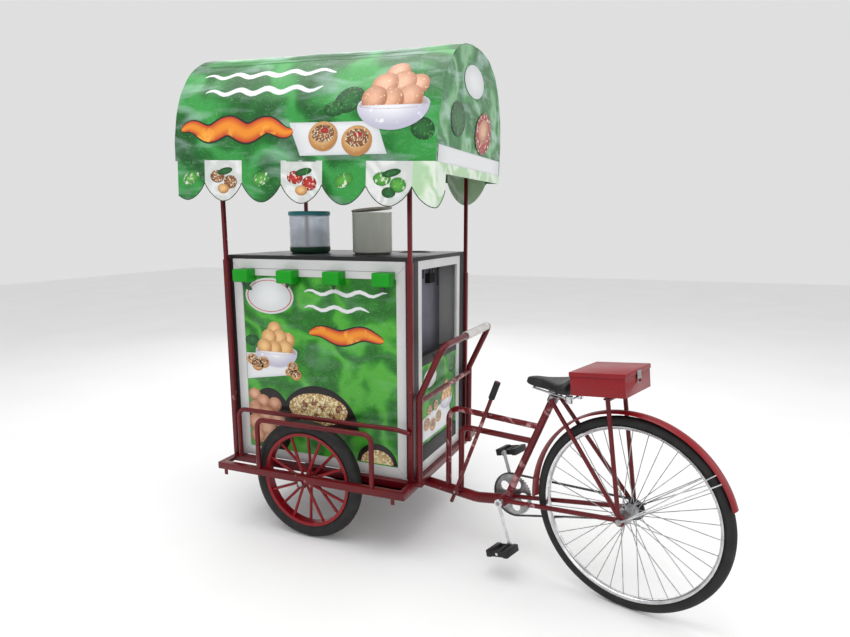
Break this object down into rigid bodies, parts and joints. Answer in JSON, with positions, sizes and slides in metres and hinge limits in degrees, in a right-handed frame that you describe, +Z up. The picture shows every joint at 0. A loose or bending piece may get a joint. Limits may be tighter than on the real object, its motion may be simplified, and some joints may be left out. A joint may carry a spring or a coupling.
{
  "type": "pedal vending cart",
  "caption": "Three-wheeled pedal vending cart: counter cabinet and barrel canopy on a two-wheeled front platform, pinned to a bicycle rear half with saddle, cranks and cash box.",
  "frame": {"origin": "on the ground, under the middle of the cart's footprint (bicycle half turned as at rest)", "axes": "+X from the cabinet towards the bicycle, +Y to the far side (chain side), +Z up"},
  "size_m": [2.302, 0.994, 2.1192],
  "materials": {
    "red_paint": "gloss red paint on steel",
    "black_paint": "satin black paint",
    "white_laminate": "white laminated board",
    "printed_banner": "glossy printed sheet, green",
    "canopy_cloth": "coated printed cloth under clear film",
    "bright_green": "bright green moulding",
    "tyre_rubber": "matt black rubber",
    "black_rubber": "black rubber grip",
    "saddle_skin": "black padded cover",
    "chrome": "bright chrome plate",
    "steel": "bare steel",
    "grey_plastic": "grey plastic",
    "clear_plastic": "clear plastic",
    "teal_plastic": "teal plastic",
    "foam_wrap": "pale foam under clear film"
  },
  "bodies": {
    "cart": {"platform_frame": "red_paint", "guard_outer_near": "red_paint", "guard_inner_near": "red_paint", "axle_near": "steel", "guard_outer_far": "red_paint", "guard_inner_far": "red_paint", "axle_far": "steel", "cabinet_frame": "black_paint", "near_frame": "white_laminate", "near_banner": "printed_banner", "far_panel": "white_laminate", "front_panel": "white_laminate", "rear_frame_white": "white_laminate", "rear_banner": "printed_banner", "compartment_back": "grey_plastic", "pump_and_leads": "black_paint", "counter_top": "black_paint", "tap_cover_1": "bright_green", "tap_cover_2": "bright_green", "tap_cover_3": "bright_green", "tap_cover_4": "bright_green", "feed_pipe": "grey_plastic", "handle_frame": "red_paint", "handle_sleeve": "foam_wrap", "canopy_skin": "canopy_cloth", "canopy_frame": "red_paint", "canopy_valance": "canopy_cloth", "post_near_front": "red_paint", "post_near_rear": "red_paint", "post_far_front": "red_paint", "post_far_rear": "red_paint"},
    "lock": {"lock_knob": "steel"},
    "wheel_near": {"front_rim_near": "red_paint", "front_tyre_near": "tyre_rubber"},
    "wheel_far": {"front_rim_far": "red_paint", "front_tyre_far": "tyre_rubber"},
    "pot_front": {"water_pot_front": "steel"},
    "pot_rear": {"water_pot_rear": "steel"},
    "jar_one": {"jar_1_body": "clear_plastic"},
    "jar_one_lid": {"jar_1_lid": "teal_plastic"},
    "jar_two": {"jar_2_body": "clear_plastic"},
    "jar_two_lid": {"jar_2_lid": "grey_plastic"},
    "bicycle": {"rear_frame": "red_paint", "rear_axle": "steel", "mudguard": "red_paint", "chain": "steel", "cash_box": "red_paint"},
    "rear_wheel": {"rear_rim": "chrome", "rear_tyre": "tyre_rubber"},
    "crankset": {"crank_far": "chrome", "crank_near": "chrome"},
    "near_pedal": {"pedal_near": "black_rubber"},
    "far_pedal": {"pedal_far": "black_rubber"},
    "seat": {"saddle_frame": "steel", "saddle_cover": "saddle_skin"},
    "box_lid": {"cash_box_lid": "red_paint"},
    "hasp": {"box_hasp": "steel"},
    "brake": {"brake_lever": "red_paint", "brake_grip": "black_rubber"}
  },
  "joints": [
    {"name": "steer", "type": "hinge", "parent": "cart", "child": "bicycle", "pos_m": [-0.56281, 0.03497, 0.28], "axis": [0, 0, 1], "range_deg": [-8, 41]},
    {"name": "front_wheel_near", "type": "hinge", "parent": "cart", "child": "wheel_near", "pos_m": [-0.53181, -0.35803, 0.266], "axis": [0, 1, 0], "continuous": true},
    {"name": "front_wheel_far", "type": "hinge", "parent": "cart", "child": "wheel_far", "pos_m": [-0.53181, 0.42797, 0.266], "axis": [0, 1, 0], "continuous": true},
    {"name": "rear_wheel_spin", "type": "hinge", "parent": "bicycle", "child": "rear_wheel", "pos_m": [0.81061, -0.37603, 0.355], "axis": [0.2867, 0.958, 0], "continuous": true},
    {"name": "crank_spin", "type": "hinge", "parent": "bicycle", "child": "crankset", "pos_m": [0.33103, -0.23252, 0.272], "axis": [0.2867, 0.958, 0], "continuous": true},
    {"name": "pedal_near_spin", "type": "hinge", "parent": "crankset", "child": "near_pedal", "pos_m": [0.3516, -0.35976, 0.11155], "axis": [0.2867, 0.958, 0], "continuous": true},
    {"name": "pedal_far_spin", "type": "hinge", "parent": "crankset", "child": "far_pedal", "pos_m": [0.31045, -0.10528, 0.43245], "axis": [0.2867, 0.958, 0], "continuous": true},
    {"name": "brake_pull", "type": "hinge", "parent": "bicycle", "child": "brake", "pos_m": [0.09911, -0.20174, 0.25], "axis": [0.2867, 0.958, 0], "range_deg": [-12, 12]},
    {"name": "saddle_height", "type": "slide", "parent": "bicycle", "child": "seat", "axis": [0.3751, -0.1122, 0.9202], "range_m": [0, 0.02]},
    {"name": "box_lid_hinge", "type": "hinge", "parent": "bicycle", "child": "box_lid", "pos_m": [0.62465, -0.32038, 0.84429], "axis": [-0.2867, -0.958, 0], "range_deg": [0, 100]},
    {"name": "hasp_hinge", "type": "hinge", "parent": "box_lid", "child": "hasp", "pos_m": [0.81743, -0.37808, 0.87751], "axis": [-0.2867, -0.958, 0], "range_deg": [0, 85]},
    {"name": "lock_turn", "type": "hinge", "parent": "cart", "child": "lock", "pos_m": [-0.05981, -0.02203, 0.791], "axis": [1, 0, 0], "range_deg": [0, 90]},
    {"name": "pot_front_lift", "type": "slide", "parent": "cart", "child": "pot_front", "axis": [0, 0, 1], "range_m": [0, 0.2]},
    {"name": "pot_rear_lift", "type": "slide", "parent": "cart", "child": "pot_rear", "axis": [0, 0, 1], "range_m": [0, 0.2]},
    {"name": "jar_1_lift", "type": "slide", "parent": "cart", "child": "jar_one", "axis": [0, 0, 1], "range_m": [0, 0.12]},
    {"name": "jar_1_lid_lift", "type": "slide", "parent": "jar_one", "child": "jar_one_lid", "axis": [0, 0, 1], "range_m": [0, 0.05]},
    {"name": "jar_2_lift", "type": "slide", "parent": "cart", "child": "jar_two", "axis": [0, 0, 1], "range_m": [0, 0.1]},
    {"name": "jar_2_lid_lift", "type": "slide", "parent": "jar_two", "child": "jar_two_lid", "axis": [0, 0, 1], "range_m": [0, 0.05]}
  ],
  "couplings": [
    {"joint": "crank_spin", "follows": "rear_wheel_spin", "ratio": 0.40909}
  ]
}
